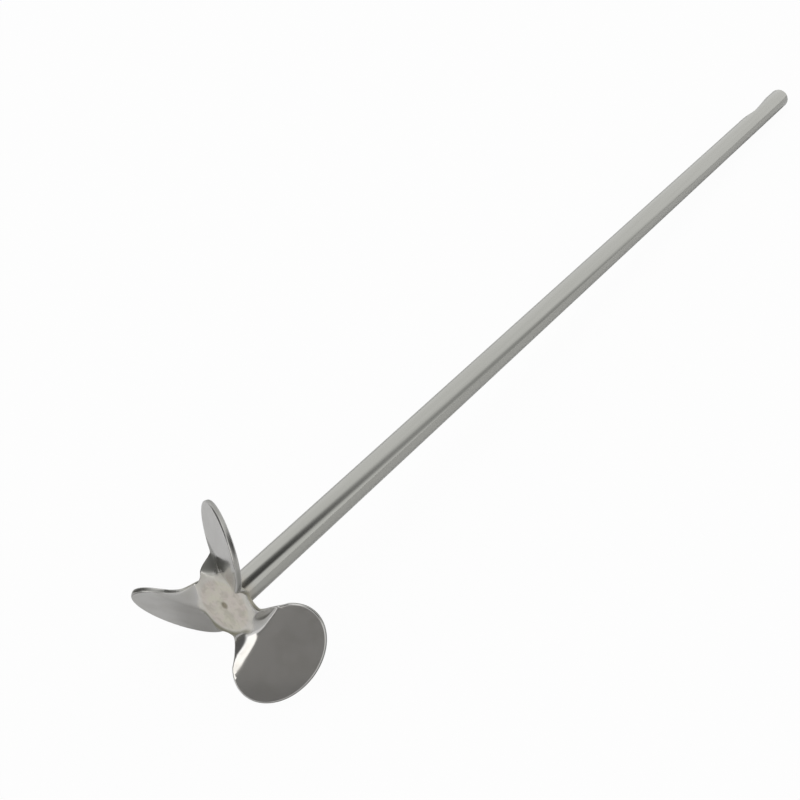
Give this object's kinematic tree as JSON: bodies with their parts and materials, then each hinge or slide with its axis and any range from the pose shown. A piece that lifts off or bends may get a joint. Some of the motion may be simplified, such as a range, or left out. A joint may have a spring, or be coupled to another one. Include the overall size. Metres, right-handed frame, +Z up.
{
  "type": "overhead stirrer shaft with propeller",
  "caption": "Straight polished round rod with a propeller stamped from one sheet welded on its end, for clamping in an overhead stirrer.",
  "frame": {"origin": "on the floor, in the middle of the footprint of the shaft as it lies at rest", "axes": "+X along the rod away from the propeller, +Z up"},
  "size_m": [0.4086, 0.054, 0.05],
  "materials": {
    "rod": "polished stainless steel with fine drawing lines",
    "propeller": "polished stainless sheet, hub face ground matt with straw heat tints",
    "weld_bead": "brushed weld with a brown heat tint"
  },
  "bodies": {
    "root": {"rod": "rod", "propeller": "propeller", "weld_bead": "weld_bead"}
  },
  "joints": []
}
